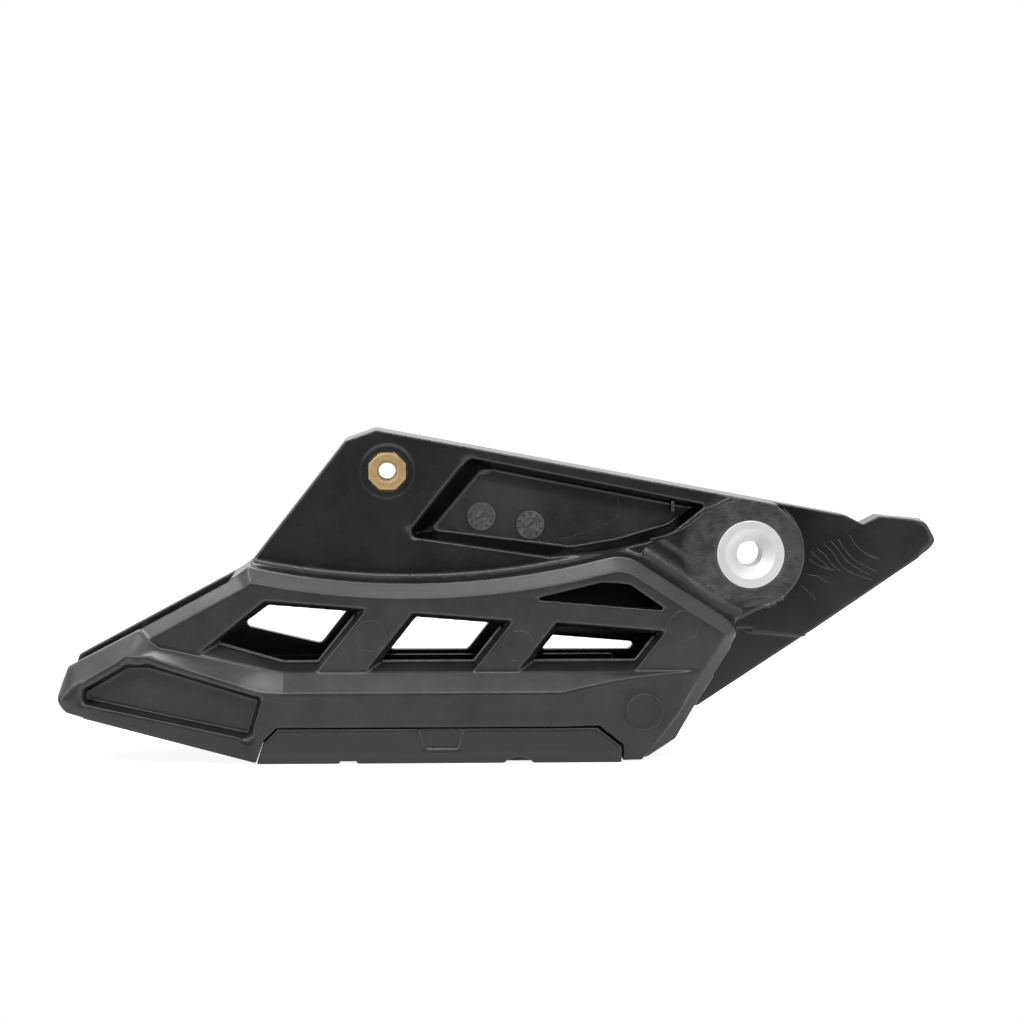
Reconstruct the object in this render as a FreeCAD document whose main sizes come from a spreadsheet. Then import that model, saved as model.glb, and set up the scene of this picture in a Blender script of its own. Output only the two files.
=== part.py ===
import FreeCAD, Part
import math
import os
import Sketcher

# Chain guide for a motorcycle swing arm, in millimetres.
# Origin in the middle of the rear bush's bolt hole. X runs to the rear, Z up, Y away from the face
# that is bolted on. Each body is drawn from that face, where its own Y is 0, and then placed.
# Sizes called front stand ahead of the face, towards -Y. Sizes called ahead run from the bush's
# axis towards -X, and sizes called drop run down from it.

doc = FreeCAD.newDocument("chain_guide")
sheet = doc.addObject("Spreadsheet::Sheet", "dims")

sizes = {
    # mounting holes
    "insert_ahead": 94.8, "insert_above": 21.9,
    # depths of the housing, front to back
    "belt_front": 15, "panel_front": 11, "shell_back": 24, "near_wall": 3.5, "far_wall": 4,
    "plate_wall": 8, "tail_set": 14, "tail_wall": 4.5, "edge_wall": 2.4, "roof_wall": 3.5,
    # outline of the mounting plate and its tail
    "toe_ahead": 130.9, "toe_drop": 2.6, "shoulder_ahead": 105.6, "shoulder_rise": 29.9,
    "crest_ahead": 97.7, "crest_rise": 32.7, "top_fall": 0.187, "top_end": 27, "notch_at": 31.6,
    "notch_rise": 7, "bump_at": 36, "bump_rise": 9.2, "tip_at": 48.5, "tip_rise": 7.9,
    "tip_end": 51.6, "tip_end_rise": 2.4, "tip_low": 49.8, "tail_low_at": 15.7,
    "tail_low_drop": 23.1, "tail_jog_at": 17.3, "tail_edge_ahead": 11.9,
    "tail_edge_drop": 42.2,
    # outline of the cage
    "nose_ahead": 179.5, "nose_drop": 35.4, "nose_top_in": 2.9, "nose_top_up": 7.9, "nose_low_in": 2.2,
    "nose_low_down": 3.6, "step_ahead": 133.5, "step_drop": 4.4, "rim_ahead": 130.6, "rim_drop": 2.2,
    "rim_radius": 202, "peak_ahead": 38.5, "peak_drop": 0.3, "knee_ahead": 29.5, "knee_drop": 1.5,
    "heel_ahead": 4.6, "heel_drop": 17.5, "heel_low_ahead": 3.9, "heel_low_drop": 21, "skirt_ahead": 15.7,
    "skirt_drop": 39.3, "hem_ahead": 20.3, "hem_drop": 47.2, "base_ahead": 27.7, "base_drop": 52,
    "toe_base_ahead": 128.6, "rim_slope": 3.6, "cove_radius": 2.6, "peak_radius": 11.6,
    "ramp_reach": 8.4, "ramp_radius": 6.5, "ramp_dip": 1.9,
    # belt that stands proud along the lower edge
    "sill_drop": 29.2, "sill_bend_ahead": 121.6, "sill_start_ahead": 153, "sill_start_drop": 22.8,
    "belt_drop": 34.2, "belt_mid_ahead": 127.6, "belt_mid_drop": 33.9,
    "belt_start_ahead": 156, "belt_start_drop": 24.6,
    "belt_turn_ahead": 50.2, "belt_wrap_ahead": 161.2, "wrap_ahead": 158.5, "wrap_drop": 18.15,
    "belt_nose_in": 4.7, "belt_nose_up": 3, "belt_end_drop": 30,
    # chain tunnel
    "floor_drop": 35.2, "lip_drop": 31, "exit_drop": 31, "run_out": 2,
    "crease_drop": 21.4, "crease_fall": 0.1,
    # windows in the near wall
    "window_lean": 0.79, "window_fall": 0.084, "window_taper": 2.4, "window_head": 1.5,
    "window_a_ahead": 126.4, "window_a_drop": 10.7, "window_a_span": 26.3, "window_a_tip_ahead": 143.3,
    "window_a_tip_drop": 24.3, "window_b_ahead": 88.5, "window_b_drop": 13.9, "window_b_span": 26,
    "window_c_ahead": 51.5, "window_c_drop": 16.5, "window_c_span": 28.5,
    # three-cornered opening above the last window
    "gusset_ahead": 57.7, "gusset_drop": 10.6, "gusset_peak_ahead": 39.5, "gusset_peak_drop": 6.3,
    "gusset_turn_ahead": 32.6, "gusset_turn_drop": 6.8, "gusset_end_ahead": 22.8, "gusset_end_drop": 13.6,
    # windows in the far wall
    "view_a_ahead": 128.4, "view_a_drop": 12.5, "view_a_span": 24, "view_a_low": 24.8,
    "view_a_tip_ahead": 132.8, "view_a_tip_drop": 20,
    "view_b_ahead": 87.1, "view_b_drop": 16, "view_b_span": 20.7, "view_b_low": 26.6,
    "view_c_ahead": 51.4, "view_c_drop": 22.9, "view_c_span": 22.8, "view_c_low": 26.7,
    "view_round": 1.2,
    # pocket in the nose
    "nose_pocket_ahead": 172.6, "nose_pocket_drop": 33, "nose_pocket_top_ahead": 161.3,
    "nose_pocket_top_drop": 26.6, "nose_pocket_turn_ahead": 155.5, "nose_pocket_end_ahead": 126.8,
    "nose_pocket_end_drop": 35.4, "nose_pocket_low_ahead": 130, "nose_pocket_low_drop": 45.9,
    "nose_pocket_tail_drop": 36.5, "nose_pocket_depth": 4.2, "nose_pocket_draft": 12,
    # pocket in the mounting plate
    "pocket_depth": 5, "pocket_ahead": 90.5, "pocket_rise": 4.9, "pocket_top_ahead": 74.4,
    "pocket_top_rise": 25.6, "pocket_end_ahead": 11.6, "pocket_end_rise": 12.9, "pocket_land_ahead": 20,
    "pocket_land_rise": 6.1, "pocket_turn_ahead": 27.1, "pocket_turn_rise": 3.1, "pocket_foot_ahead": 37.7,
    "pocket_foot_rise": 0.8, "pocket_low_ahead": 53.3, "pocket_low_drop": 0.6, "pocket_side": 7.1,
    "pocket_sill": 1.4, "pocket_head": 2.9,
    # slider
    "slider_fit": 0.25, "slot_left_ahead": 126.6, "slot_right_ahead": 34.5,
    "slot_top_drop": 43.1, "slot_corner_left": 3.4, "slot_corner_right": 6.2, "slot_left_share": 0.38,
    "slot_right_share": 0.56, "slider_proud": 0.4,
    "slot_flare": 1.9, "cheek_wall": 3,
    "cheek_drop": 27.4, "wear_floor_drop": 34.6, "hem_bevel": 2.6, "hem_bevel_in": 0.8,
    "catch_ahead": 81.1, "catch_width": 11.8, "catch_height": 5.8, "catch_lean": 1.5, "catch_depth": 0.5,
    "gate_ahead": 61.2, "gate_radius": 5, "gate_rise": 1.7, "gate_depth": 5,
    "nick_ahead": 104.9, "nick_width": 4.4, "nick_rise": 0.9,
    # rear bush and front insert
    "bush_radius": 7.2, "flange_radius": 8.9, "flange_depth": 2.4, "bush_length": 12, "bolt_radius": 3.3,
    "dish_radius": 6.5, "dish_depth": 2.6, "bush_chamfer": 0.2, "metal_fit": 0.02,
    "boss_radius": 14.2, "head_radius": 9,
    "insert_radius": 5, "insert_length": 10, "thread_radius": 2.5, "thread_chamfer": 0.4,
    "insert_groove": 0.5, "insert_groove_width": 1.6, "spot_radius": 7.15, "spot_depth": 0.3,
    "insert_boss_radius": 8, "insert_boss_reach": 5, "relief_radius": 3.5,
    # ribs behind the plate
    "rib_wall": 2.2, "rib_set": 3, "rib_a_ahead": 78, "rib_b_ahead": 54, "rib_c_ahead": 30,
}
for row, (alias, value) in enumerate(sizes.items(), start=1):
    sheet.set(f"A{row}", alias)
    sheet.set(f"B{row}", str(value))
    sheet.setAlias(f"B{row}", alias)
doc.recompute()


# Sketches and features

def new_body(label):
    body = doc.addObject("PartDesign::Body", label)
    body.Label = label
    body.setExpression("Placement.Base.y", "-(dims.dish_depth + dims.bush_length) / 2")
    return body


def new_sketch(body, name, front, role="XZ_Plane"):
    sketch = body.newObject("Sketcher::SketchObject", name)
    plane = next(item for item in body.Origin.OriginFeatures if item.Role == role)
    sketch.AttachmentSupport = [(plane, "")]
    sketch.MapMode = "FlatFace"
    sketch.setExpression("AttachmentOffset.Base.z", front)
    return sketch


def bind(sketch, constraint, text):
    number = sketch.addConstraint(constraint)
    sketch.setExpression(f"Constraints[{number}]", text)


def arc_between(start, end, radius, left):
    # centre on the left or right hand of the way from start to end
    chord = end - start
    middle = (start + end) * 0.5
    side = FreeCAD.Vector(-chord.y, chord.x, 0).normalize() * (1 if left else -1)
    centre = middle + side * math.sqrt(radius ** 2 - chord.Length ** 2 / 4)
    first, last = (start, end) if left else (end, start)
    angles = [math.atan2(point.y - centre.y, point.x - centre.x) for point in (first, last)]
    return Part.ArcOfCircle(Part.Circle(centre, FreeCAD.Vector(0, 0, 1), radius), *angles)


def outline(body, name, front, points, arcs=None, role="XZ_Plane"):
    # closed outline through the points; arcs gives the radius and hand of an edge by its number
    sketch = new_sketch(body, name, front, role)
    arcs = arcs or {}
    places = [FreeCAD.Vector(*(float(sketch.evalExpression(text)) for text in point)) for point in points]
    ends = []
    for number, start in enumerate(places):
        finish = places[(number + 1) % len(places)]
        if number in arcs:
            text, left = arcs[number]
            radius = float(sketch.evalExpression(text))
            sketch.addGeometry(arc_between(start, finish, radius, left))
            ends.append((1, 2) if left else (2, 1))
        else:
            sketch.addGeometry(Part.LineSegment(start, finish))
            ends.append((1, 2))
    for number in range(len(places)):
        following = (number + 1) % len(places)
        joint = (number, ends[number][1], following, ends[following][0])
        sketch.addConstraint(Sketcher.Constraint("Coincident", *joint))
    for number, point in enumerate(points):
        for kind, text, value in zip(("DistanceX", "DistanceY"), point, places[number]):
            bind(sketch, Sketcher.Constraint(kind, -1, 1, number, ends[number][0], value), text)
    for number, (text, left) in arcs.items():
        radius = float(sketch.evalExpression(text))
        bind(sketch, Sketcher.Constraint("Radius", number, radius), text)
    return sketch


def circle(body, name, front, centre, radius, role="XZ_Plane"):
    sketch = new_sketch(body, name, front, role)
    place = FreeCAD.Vector(*(float(sketch.evalExpression(text)) for text in centre))
    size = float(sketch.evalExpression(radius))
    sketch.addGeometry(Part.Circle(place, FreeCAD.Vector(0, 0, 1), size))
    for kind, text, value in zip(("DistanceX", "DistanceY"), centre, place):
        bind(sketch, Sketcher.Constraint(kind, -1, 1, 0, 3, value), text)
    bind(sketch, Sketcher.Constraint("Radius", 0, size), radius)
    return sketch


def swept(body, kind, name, sketch, length, taper=None, reverse=False):
    feature = body.newObject(f"PartDesign::{kind}", name)
    feature.Profile = sketch
    feature.setExpression("Length", length)
    feature.Reversed = reverse
    if taper:
        feature.setExpression("TaperAngle", taper)
    return feature


def lofted(body, kind, name, sections):
    feature = body.newObject(f"PartDesign::{kind}", name)
    feature.Profile = sections[0]
    feature.Sections = sections[1:]
    feature.Ruled = True
    return feature


def turned(body, name, points):
    # profile in radius and depth, turned about the Y axis
    sketch = outline(body, f"{name}_profile", "0", points, role="XY_Plane")
    feature = body.newObject("PartDesign::Revolution", name)
    feature.Profile = sketch
    feature.ReferenceAxis = (sketch, ["V_Axis"])
    feature.Angle = 360
    return feature


def edges_near(feature, spots):
    # names of the edges whose middles lie nearest to the spots
    names = []
    for spot in spots:
        goal = FreeCAD.Vector(*spot)
        gaps = []
        for number, edge in enumerate(feature.Shape.Edges, start=1):
            middle = edge.valueAt((edge.FirstParameter + edge.LastParameter) / 2)
            gaps.append((middle.distanceToPoint(goal), number))
        names.append(f"Edge{min(gaps)[1]}")
    return names


def value(alias):
    return float(sheet.get(alias))


# Housing: cage and mounting plate in one moulding

housing = new_body("housing")
cage_points = [
    ("-dims.nose_ahead + dims.nose_top_in", "-dims.nose_drop + dims.nose_top_up"),
    ("-dims.step_ahead", "-dims.step_drop"),
    ("-dims.rim_ahead", "-dims.rim_drop"),
    ("-dims.peak_ahead", "-dims.peak_drop"),
    ("-dims.knee_ahead", "-dims.knee_drop"),
    ("-dims.heel_ahead", "-dims.heel_drop"),
    ("-dims.heel_low_ahead", "-dims.heel_low_drop"),
    ("-dims.skirt_ahead", "-dims.skirt_drop"),
    ("-dims.hem_ahead", "-dims.hem_drop"),
    ("-dims.base_ahead", "-dims.base_drop"),
    ("-dims.toe_base_ahead", "-dims.base_drop"),
    ("-dims.nose_ahead + dims.nose_low_in", "-dims.nose_drop - dims.nose_low_down"),
    ("-dims.nose_ahead", "-dims.nose_drop"),
]
cage_arcs = {
    2: ("dims.rim_radius", True),
    3: ("dims.peak_radius", False),
}
cage_sketch = outline(housing, "cage_outline", "-dims.shell_back", cage_points, cage_arcs)
swept(housing, "Pad", "cage", cage_sketch, "dims.shell_back + dims.panel_front")

top_rise = "dims.crest_rise - dims.top_fall * (dims.crest_ahead + dims.top_end)"
plate_points = [
    ("-dims.toe_ahead", "-dims.toe_drop"),
    ("-dims.shoulder_ahead", "dims.shoulder_rise"),
    ("-dims.crest_ahead", "dims.crest_rise"),
    ("dims.top_end", top_rise),
    ("dims.notch_at", "dims.notch_rise"),
    ("dims.bump_at", "dims.bump_rise"),
    ("dims.tip_at", "dims.tip_rise"),
    ("dims.tip_end", "dims.tip_end_rise"),
    ("dims.tip_low", "0"),
    ("dims.tail_low_at", "-dims.tail_low_drop"),
    ("dims.tail_jog_at", "-dims.tail_low_drop"),
    ("-dims.tail_edge_ahead", "-dims.tail_edge_drop"),
    ("-dims.peak_ahead", "-dims.floor_drop"),
]
plate_sketch = outline(housing, "plate_outline", "-dims.shell_back", plate_points)
plate = swept(housing, "Pad", "plate", plate_sketch, "dims.shell_back")
doc.recompute()


def midpoint(first, second, front):
    # middle of an outline's edge, on the plane that stands that far ahead of the mounting face
    flat = [[float(housing.evalExpression(text)) for text in point] for point in (first, second)]
    return ((flat[0][0] + flat[1][0]) / 2, -front, (flat[0][1] + flat[1][1]) / 2)


def curve_middle(front):
    # lowest part of the rim's curve
    half = (value("rim_ahead") - value("peak_ahead")) / 2
    sag = value("rim_radius") - math.sqrt(value("rim_radius") ** 2 - half ** 2)
    return (-value("peak_ahead") - half, -front, -(value("rim_drop") + value("peak_drop")) / 2 - sag)


# sloped rim round the window panel
panel = value("panel_front")
rim_edges = (0, 1, 3, 4, 5, 6, 7, 8)
rim_spots = [midpoint(cage_points[n], cage_points[n + 1], panel) for n in rim_edges]
rim = housing.newObject("PartDesign::Chamfer", "rim")
rim.Base = (plate, edges_near(plate, rim_spots + [curve_middle(panel)]))
rim.setExpression("Size", "dims.rim_slope")
doc.recompute()

# cove along the rim's curve
cove = housing.newObject("PartDesign::Fillet", "cove")
cove.Base = (rim, edges_near(rim, [curve_middle(0)]))
cove.setExpression("Radius", "dims.cove_radius")
doc.recompute()

# hollow ramp between the land of the boss and the rim, drawn across the slope from knee to heel
heel_run = "(dims.knee_ahead - dims.heel_ahead)"
heel_fall = "(dims.heel_drop - dims.knee_drop)"


def across_heel(sketch):
    # turns a sketch on the YZ plane so that it stands across the slope, at the knee
    turn = FreeCAD.Rotation(FreeCAD.Vector(1, 0, 0), 1)
    sketch.AttachmentOffset = FreeCAD.Placement(FreeCAD.Vector(), turn)
    sketch.setExpression("AttachmentOffset.Rotation.Angle", f"atan({heel_fall} / {heel_run})")
    sketch.setExpression("AttachmentOffset.Base.y", "-dims.knee_drop")
    return sketch


ramp_rise = "sqrt(dims.ramp_radius ^ 2 - dims.ramp_dip ^ 2)"
ramp_points = [
    ("dims.edge_wall", "-dims.edge_wall"),
    ("dims.edge_wall", "dims.ramp_reach"),
    ("0", "dims.ramp_reach"),
    (f"-{ramp_rise}", "0"),
    (f"-{ramp_rise}", "-dims.edge_wall"),
]
ramp_length = f"sqrt({heel_run} ^ 2 + {heel_fall} ^ 2)"
ramp_sketch = outline(housing, "ramp_section", "-dims.knee_ahead", ramp_points, role="YZ_Plane")
swept(housing, "Pad", "ramp", across_heel(ramp_sketch), ramp_length)
hollow_centre = (f"-{ramp_rise}", "dims.ramp_reach - dims.ramp_dip")
hollow_sketch = circle(
    housing, "ramp_hollow_section", "-dims.knee_ahead", hollow_centre, "dims.ramp_radius", "YZ_Plane"
)
swept(housing, "Pocket", "ramp_hollow", across_heel(hollow_sketch), ramp_length, reverse=True)
doc.recompute()

# belt along the lower edge, proud of the window panel, with a sloped ledge above it
belt_low = [
    ("-dims.skirt_ahead - dims.rim_slope", "-dims.skirt_drop"),
    ("-dims.hem_ahead - dims.rim_slope", "-dims.hem_drop + dims.rim_slope / 2"),
    ("-dims.base_ahead - dims.rim_slope / 2", "-dims.base_drop"),
    ("-dims.toe_base_ahead", "-dims.base_drop"),
    ("-dims.nose_ahead + dims.nose_low_in", "-dims.nose_drop - dims.nose_low_down"),
    ("-dims.nose_ahead", "-dims.nose_drop"),
]
sill_fall = (
    "(dims.sill_drop - dims.sill_start_drop) / (dims.sill_start_ahead - dims.sill_bend_ahead)"
)
belt_foot = [
    ("-dims.nose_ahead + dims.nose_top_in", "-dims.nose_drop + dims.nose_top_up"),
    ("-dims.wrap_ahead", "-dims.wrap_drop"),
    ("-dims.sill_start_ahead", "-dims.sill_start_drop"),
    ("-dims.belt_mid_ahead", f"-dims.sill_drop + {sill_fall} * (dims.belt_mid_ahead - dims.sill_bend_ahead)"),
    ("-dims.sill_bend_ahead", "-dims.sill_drop"),
    ("-dims.belt_turn_ahead", "-dims.sill_drop"),
    ("-dims.skirt_ahead + dims.rim_slope / 2", "-dims.sill_drop"),
] + belt_low
belt_face = [
    ("-dims.nose_ahead + dims.belt_nose_in", "-dims.nose_drop + dims.belt_nose_up"),
    ("-dims.belt_wrap_ahead", "-dims.belt_start_drop"),
    ("-dims.belt_start_ahead", "-dims.belt_start_drop"),
    ("-dims.belt_mid_ahead", "-dims.belt_mid_drop"),
    ("-dims.sill_bend_ahead", "-dims.belt_drop"),
    ("-dims.belt_turn_ahead", "-dims.belt_drop"),
    ("-dims.skirt_ahead + dims.rim_slope / 2", "-dims.belt_end_drop"),
] + belt_low
belt_root = outline(housing, "belt_root", "dims.panel_front - dims.rim_slope", belt_foot)
swept(housing, "Pad", "belt_back", belt_root, "dims.rim_slope")
belt_sections = [
    outline(housing, "belt_foot", "dims.panel_front", belt_foot),
    outline(housing, "belt_face", "dims.belt_front", belt_face),
]
lofted(housing, "AdditiveLoft", "belt", belt_sections)

# the belt leans back towards the heel
lean_points = [
    ("-dims.belt_turn_ahead", "-dims.belt_front"),
    ("-dims.skirt_ahead + dims.rim_slope / 2", "-dims.panel_front"),
    ("dims.tip_end", "-dims.panel_front"),
    ("dims.tip_end", "-2 * dims.belt_front"),
    ("-dims.belt_turn_ahead", "-2 * dims.belt_front"),
]
lean_sketch = outline(housing, "belt_lean_plan", "dims.crest_rise", lean_points, role="XY_Plane")
swept(housing, "Pocket", "belt_lean", lean_sketch, "dims.crest_rise + 2 * dims.base_drop")

# tail, set back behind the land of the boss
boss_top = ("dims.boss_radius * sin(30)", "dims.boss_radius * cos(30)")
boss_low = ("dims.boss_radius * sin(15)", "-dims.boss_radius * cos(15)")
tail_points = [
    boss_top,
    boss_low,
    ("-dims.heel_low_ahead", "-dims.heel_drop"),
    ("-dims.heel_low_ahead", "-2 * dims.base_drop"),
    ("2 * dims.tip_end", "-2 * dims.base_drop"),
    ("2 * dims.tip_end", "dims.crest_rise"),
    ("dims.boss_radius * sin(30)", "dims.crest_rise"),
]
tail_sketch = outline(housing, "tail_face", "0", tail_points, {0: ("dims.boss_radius", False)})
swept(housing, "Pocket", "tail_step", tail_sketch, "dims.tail_set")
outrun_points = [
    ("-dims.heel_low_ahead", "-dims.crease_drop"),
    ("2 * dims.tip_end", "-dims.crease_drop - 2 * dims.crease_fall * dims.tip_end"),
    ("2 * dims.tip_end", "-2 * dims.base_drop"),
    ("-dims.hem_ahead", "-2 * dims.base_drop"),
    ("-dims.hem_ahead", "-dims.hem_drop"),
    ("-dims.skirt_ahead", "-dims.skirt_drop"),
]
outrun_sketch = outline(housing, "outrun_face", "0", outrun_points)
swept(housing, "Pocket", "outrun", outrun_sketch, "dims.shell_back - dims.far_wall")

# the plate and the tail are open trays at the back
inner_end = "-dims.boss_radius - dims.edge_wall"
tray_points = [
    ("-dims.toe_ahead + 2 * dims.edge_wall", "-dims.toe_drop - dims.edge_wall / 3"),
    ("-dims.shoulder_ahead + dims.edge_wall * 0.6", "dims.shoulder_rise - dims.edge_wall"),
    ("-dims.crest_ahead + dims.edge_wall / 4", "dims.crest_rise - dims.edge_wall"),
    (inner_end, "dims.crest_rise - dims.top_fall * (dims.crest_ahead - dims.boss_radius) - dims.edge_wall"),
    (inner_end, "-dims.knee_drop - dims.edge_wall"),
    ("-dims.knee_ahead", "-dims.knee_drop"),
    ("-dims.peak_ahead", "-dims.peak_drop"),
]
tray_curve = {6: ("dims.rim_radius", False)}
tray_sketch = outline(housing, "tray_outline", "-dims.shell_back", tray_points, tray_curve)
swept(housing, "Pocket", "tray", tray_sketch, "dims.shell_back - dims.plate_wall", reverse=True)
tail_rise = "dims.crest_rise - dims.top_fall * (dims.crest_ahead + dims.boss_radius + dims.edge_wall)"
tail_tray_points = [
    ("dims.boss_radius + dims.edge_wall", f"{tail_rise} - dims.edge_wall"),
    ("dims.top_end", f"{top_rise} - dims.edge_wall"),
    ("dims.notch_at", "dims.notch_rise - dims.edge_wall"),
    ("dims.bump_at + dims.edge_wall / 4", "dims.bump_rise - dims.edge_wall"),
    ("dims.tip_at - dims.edge_wall * 0.6", "dims.tip_rise - dims.edge_wall"),
    ("dims.tip_end - dims.edge_wall", "dims.tip_end_rise"),
    ("dims.boss_radius + dims.edge_wall", "-dims.boss_radius - dims.edge_wall"),
]
tail_tray_sketch = outline(housing, "tail_tray_outline", "-dims.shell_back", tail_tray_points)
tail_hollow = "dims.shell_back - dims.tail_set - dims.tail_wall"
swept(housing, "Pocket", "tail_tray", tail_tray_sketch, tail_hollow, reverse=True)

# ribs across the tray and a boss behind the front insert
for letter in "abc":
    ahead = f"dims.rib_{letter}_ahead"
    rib_top = f"dims.crest_rise - dims.top_fall * (dims.crest_ahead - {ahead}) - dims.edge_wall / 2"
    rib_points = [
        (f"-{ahead} - dims.rib_wall / 2", "-dims.sill_drop / 3"),
        (f"-{ahead} + dims.rib_wall / 2", "-dims.sill_drop / 3"),
        (f"-{ahead} + dims.rib_wall / 2", rib_top),
        (f"-{ahead} - dims.rib_wall / 2", rib_top),
    ]
    rib_sketch = outline(housing, f"rib_{letter}_face", "-dims.shell_back + dims.rib_set", rib_points)
    swept(housing, "Pad", f"rib_{letter}", rib_sketch, "dims.shell_back - dims.rib_set - dims.plate_wall")
insert_centre = ("-dims.insert_ahead", "dims.insert_above")
boss_end = "-dims.plate_wall - dims.insert_boss_reach"
insert_boss_sketch = circle(housing, "insert_boss_face", boss_end, insert_centre, "dims.insert_boss_radius")
swept(housing, "Pad", "insert_boss", insert_boss_sketch, "dims.insert_boss_reach")

# tunnel that the chain runs through, open at both ends
inner_front = "dims.panel_front - dims.near_wall"
tunnel_depth = f"{inner_front} + dims.shell_back - dims.far_wall"
tunnel_points = [
    ("-dims.nose_ahead - dims.run_out", "-dims.lip_drop"),
    ("-dims.slot_left_ahead", "-dims.floor_drop"),
    ("-dims.slot_right_ahead", "-dims.floor_drop"),
    ("-dims.skirt_ahead + dims.rim_slope", "-dims.exit_drop"),
    ("dims.run_out", "-dims.exit_drop"),
    ("dims.run_out", "-dims.heel_drop - dims.roof_wall"),
    ("-dims.heel_ahead - dims.roof_wall / 2", "-dims.heel_drop - dims.roof_wall"),
    ("-dims.knee_ahead - dims.roof_wall / 2", "-dims.knee_drop - dims.roof_wall"),
    ("-dims.peak_ahead + dims.roof_wall / 4", "-dims.peak_drop - dims.roof_wall"),
    ("-dims.rim_ahead - dims.roof_wall / 4", "-dims.rim_drop - dims.roof_wall"),
    ("-dims.nose_ahead - dims.run_out", "-dims.step_drop"),
]
roof_arc = {8: ("dims.rim_radius + dims.roof_wall", False)}
tunnel_sketch = outline(housing, "tunnel_side", inner_front, tunnel_points, roof_arc)
swept(housing, "Pocket", "tunnel", tunnel_sketch, tunnel_depth)

# gap in the bottom for the slider: through both walls, and higher between them
left_corner = "dims.slot_left_share * (dims.base_drop - dims.slot_top_drop)"
right_corner = "dims.slot_right_share * (dims.base_drop - dims.slot_top_drop)"
slot_points = [
    ("-dims.slot_left_ahead - dims.slot_flare", "-dims.base_drop - dims.run_out"),
    ("-dims.slot_left_ahead - dims.slot_flare", "-dims.base_drop"),
    ("-dims.slot_left_ahead", f"-dims.slot_top_drop - {left_corner}"),
    ("-dims.slot_left_ahead + dims.slot_corner_left", "-dims.slot_top_drop"),
    ("-dims.slot_right_ahead - dims.slot_corner_right", "-dims.slot_top_drop"),
    ("-dims.slot_right_ahead", f"-dims.slot_top_drop - {right_corner}"),
    ("-dims.slot_right_ahead", "-dims.base_drop - dims.run_out"),
]
slot_sketch = outline(housing, "slot_side", "2 * dims.belt_front", slot_points)
swept(housing, "Pocket", "slot", slot_sketch, "2 * dims.belt_front + 2 * dims.shell_back")
well_points = [
    ("-dims.slot_left_ahead", "-dims.base_drop - dims.run_out"),
    ("-dims.slot_left_ahead", "-dims.cheek_drop"),
    ("-dims.slot_right_ahead", "-dims.cheek_drop"),
    ("-dims.slot_right_ahead", "-dims.base_drop - dims.run_out"),
]
well_sketch = outline(housing, "well_side", inner_front, well_points)
swept(housing, "Pocket", "well", well_sketch, tunnel_depth)


# windows with walls that slope in to a lip
def slanted(ahead, drop, span, low):
    # corners of a window: top left, top right, bottom right, bottom left
    end = f"({ahead} - {span})"
    end_drop = f"({drop} + dims.window_fall * {span})"
    return [
        (f"-{ahead}", f"-{drop}"),
        (f"-{end}", f"-{end_drop}"),
        (f"-{end} - dims.window_lean * ({low} - {end_drop})", f"-{low}"),
        (f"-{ahead} - dims.window_lean * ({low} - {drop})", f"-{low}"),
    ]


for letter in "abc":
    ahead, drop, span = (f"dims.window_{letter}_{word}" for word in ("ahead", "drop", "span"))
    mouth = slanted(ahead, drop, span, "dims.sill_drop")
    lip_ahead = f"({ahead} - dims.window_taper / 2)"
    lip_drop = f"({drop} + dims.window_head)"
    lip_span = f"({span} - dims.window_taper * 1.5)"
    lip = slanted(lip_ahead, lip_drop, lip_span, "(dims.sill_drop - dims.window_taper)")
    if letter == "a":
        tip_ahead = "-dims.window_a_tip_ahead"
        tip_drop = "-dims.window_a_tip_drop"
        mouth[3:] = [("-dims.sill_bend_ahead", "-dims.sill_drop"), (tip_ahead, tip_drop)]
        lip[3:] = [
            ("-dims.sill_bend_ahead", "-dims.sill_drop + dims.window_taper"),
            (f"{tip_ahead} + 2 * dims.window_taper", f"{tip_drop} + dims.window_taper"),
        ]
    window_sections = [
        outline(housing, f"window_{letter}_mouth", "dims.panel_front", mouth),
        outline(housing, f"window_{letter}_lip", inner_front, lip),
    ]
    lofted(housing, "SubtractiveLoft", f"window_{letter}", window_sections)
    view_sizes = [f"dims.view_{letter}_{word}" for word in ("ahead", "drop", "span", "low")]
    view = slanted(*view_sizes)
    if letter == "a":
        view[3] = ("-dims.view_a_tip_ahead", "-dims.view_a_tip_drop")
    view_sketch = outline(housing, f"view_{letter}_side", "-dims.shell_back + 2 * dims.far_wall", view)
    view_cut = swept(housing, "Pocket", f"view_{letter}", view_sketch, "3 * dims.far_wall")
    doc.recompute()
    middle = value("far_wall") / 2 - value("shell_back")
    view_edges = edges_near(view_cut, [midpoint(corner, corner, middle) for corner in view])
    view_round = housing.newObject("PartDesign::Fillet", f"view_{letter}_round")
    view_round.Base = (view_cut, view_edges)
    end_height = f"({view_sizes[3]} - {view_sizes[1]} - dims.window_fall * {view_sizes[2]})"
    view_round.setExpression("Radius", f"min(dims.view_round; 0.42 * {end_height})")

gusset_points = [
    ("-dims.gusset_ahead", "-dims.gusset_drop"),
    ("-dims.gusset_peak_ahead", "-dims.gusset_peak_drop"),
    ("-dims.gusset_turn_ahead", "-dims.gusset_turn_drop"),
    ("-dims.gusset_end_ahead", "-dims.gusset_end_drop"),
]
gusset_sketch = outline(housing, "gusset_side", "dims.panel_front", gusset_points)
swept(housing, "Pocket", "gusset", gusset_sketch, "dims.near_wall")

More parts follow.
